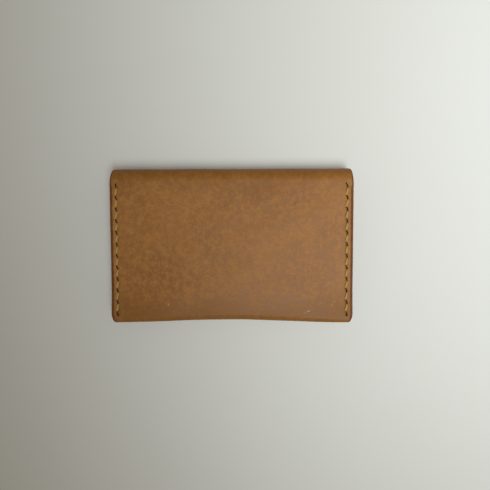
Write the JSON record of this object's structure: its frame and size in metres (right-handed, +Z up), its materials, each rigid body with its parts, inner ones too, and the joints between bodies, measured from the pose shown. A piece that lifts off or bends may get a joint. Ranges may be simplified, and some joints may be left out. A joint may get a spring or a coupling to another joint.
{
  "type": "card case",
  "caption": "Flat leather pocket for cards with saddle-stitched sides and a fold-over flap held by a press snap.",
  "frame": {"origin": "centre of the bounding box on the surface that the case lies on", "axes": "X across the width along the top fold, +Y towards the top fold, +Z up out of the back panel; the case lies on its flap side"},
  "size_m": [0.105, 0.067, 0.013],
  "materials": {
    "leather": "undyed vegetable-tanned cowhide, waxed, semi-matte, with darker burnished edges",
    "thread": "waxed linen thread, straw colour",
    "snap_metal": "satin"
  },
  "bodies": {
    "body": {"body_leather": "leather", "flap_fold": "leather", "stitching_left": "thread", "stitching_right": "thread", "snap_stud": "snap_metal", "snap_post": "snap_metal"},
    "flap": {"flap": "leather", "snap_cap": "snap_metal", "snap_socket": "snap_metal"}
  },
  "joints": [
    {"name": "flap_hinge", "type": "hinge", "parent": "body", "child": "flap", "pos_m": [0, 0.02785, 0.00665], "axis": [1, 0, 0], "range_deg": [0, 175], "deforming": ["flap_fold"]}
  ]
}
